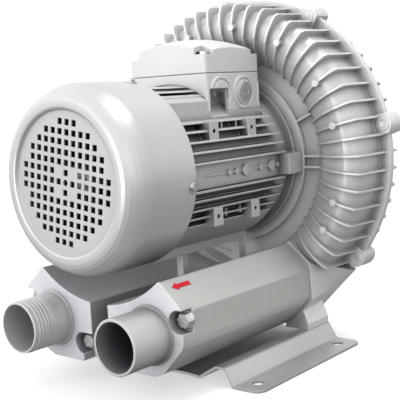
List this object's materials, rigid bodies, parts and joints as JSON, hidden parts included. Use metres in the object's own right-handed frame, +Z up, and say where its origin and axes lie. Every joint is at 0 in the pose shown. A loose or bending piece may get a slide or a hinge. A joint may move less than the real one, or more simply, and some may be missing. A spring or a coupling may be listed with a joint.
{
  "type": "side channel blower",
  "caption": "Side channel blower: finned impeller casing, flange motor with fan cover and terminal box, twin silencers with hose nozzles, on a folded steel base plate.",
  "frame": {"origin": "centre of the base plate's four-hole pattern, on the floor plane under the base", "axes": "+Z up through the fixing holes, -Y out of the nozzles towards the fan end, motor axis parallel to Y at z = 0.235 m, +X to the outlet side"},
  "size_m": [0.4205, 0.401, 0.4447],
  "materials": {
    "cast_aluminium": "satin",
    "motor_casting": "satin",
    "terminal_casting": "satin",
    "cover_paint": "satin",
    "base_steel": "satin",
    "zinc_fastener": "satin",
    "foam": "matte",
    "perforated_steel": "satin",
    "lamination_steel": "satin",
    "rotor_alloy": "satin",
    "winding_copper": "satin",
    "ground_steel": "gloss",
    "impeller_alloy": "satin",
    "fan_plastic": "matte",
    "seal_rubber": "matte",
    "terminal_moulding": "matte",
    "brass": "satin",
    "arrow_red": "gloss"
  },
  "bodies": {
    "frame": {"base_plate": "base_steel", "base_screws": "zinc_fastener", "bearing_spring_washer": "zinc_fastener", "cable_entry_plugs": "zinc_fastener", "casing_bolts": "zinc_fastener", "casing_cover": "cast_aluminium", "de_bearing_outer_ring": "ground_steel", "drive_end_flange": "cast_aluminium", "earth_screw": "brass", "end_shield": "cast_aluminium", "end_shield_screws": "zinc_fastener", "fan_cover": "cover_paint", "fan_cover_screws": "zinc_fastener", "flange_screws": "zinc_fastener", "flow_arrow": "arrow_red", "impeller_housing": "cast_aluminium", "inlet_nozzle": "cast_aluminium", "lid_gasket": "seal_rubber", "lid_screws": "zinc_fastener", "motor_housing": "motor_casting", "motor_support_posts": "cast_aluminium", "nde_bearing_outer_ring": "ground_steel", "outlet_nozzle": "cast_aluminium", "perforated_tube_left": "perforated_steel", "perforated_tube_right": "perforated_steel", "shaft_seal": "seal_rubber", "silencer_bolts": "zinc_fastener", "silencer_foam_left": "foam", "silencer_foam_right": "foam", "silencer_left": "cast_aluminium", "silencer_right": "cast_aluminium", "stator_core": "lamination_steel", "stator_windings": "winding_copper", "terminal_block": "terminal_moulding", "terminal_box_base": "terminal_casting", "terminal_box_lid": "terminal_casting", "terminal_links": "brass", "terminal_studs": "zinc_fastener"},
    "rotor": {"shaft": "ground_steel", "rotor_core": "rotor_alloy", "impeller": "impeller_alloy", "impeller_key": "ground_steel", "impeller_washer": "zinc_fastener", "impeller_bolt": "zinc_fastener", "cooling_fan": "fan_plastic", "fan_circlip": "zinc_fastener", "nde_bearing_inner_ring": "ground_steel", "de_bearing_inner_ring": "ground_steel"},
    "nde_cage": {"nde_bearing_balls": "ground_steel", "nde_bearing_cage": "ground_steel"},
    "de_cage": {"de_bearing_balls": "ground_steel", "de_bearing_cage": "ground_steel"}
  },
  "joints": [
    {"name": "rotor_spin", "type": "hinge", "parent": "frame", "child": "rotor", "pos_m": [0, 0, 0.235], "axis": [0, 1, 0], "continuous": true},
    {"name": "nde_cage_spin", "type": "hinge", "parent": "frame", "child": "nde_cage", "pos_m": [0, 0, 0.235], "axis": [0, 1, 0], "continuous": true},
    {"name": "de_cage_spin", "type": "hinge", "parent": "frame", "child": "de_cage", "pos_m": [0, 0, 0.235], "axis": [0, 1, 0], "continuous": true}
  ],
  "couplings": [
    {"joint": "nde_cage_spin", "follows": "rotor_spin", "ratio": 0.4},
    {"joint": "de_cage_spin", "follows": "rotor_spin", "ratio": 0.4}
  ]
}
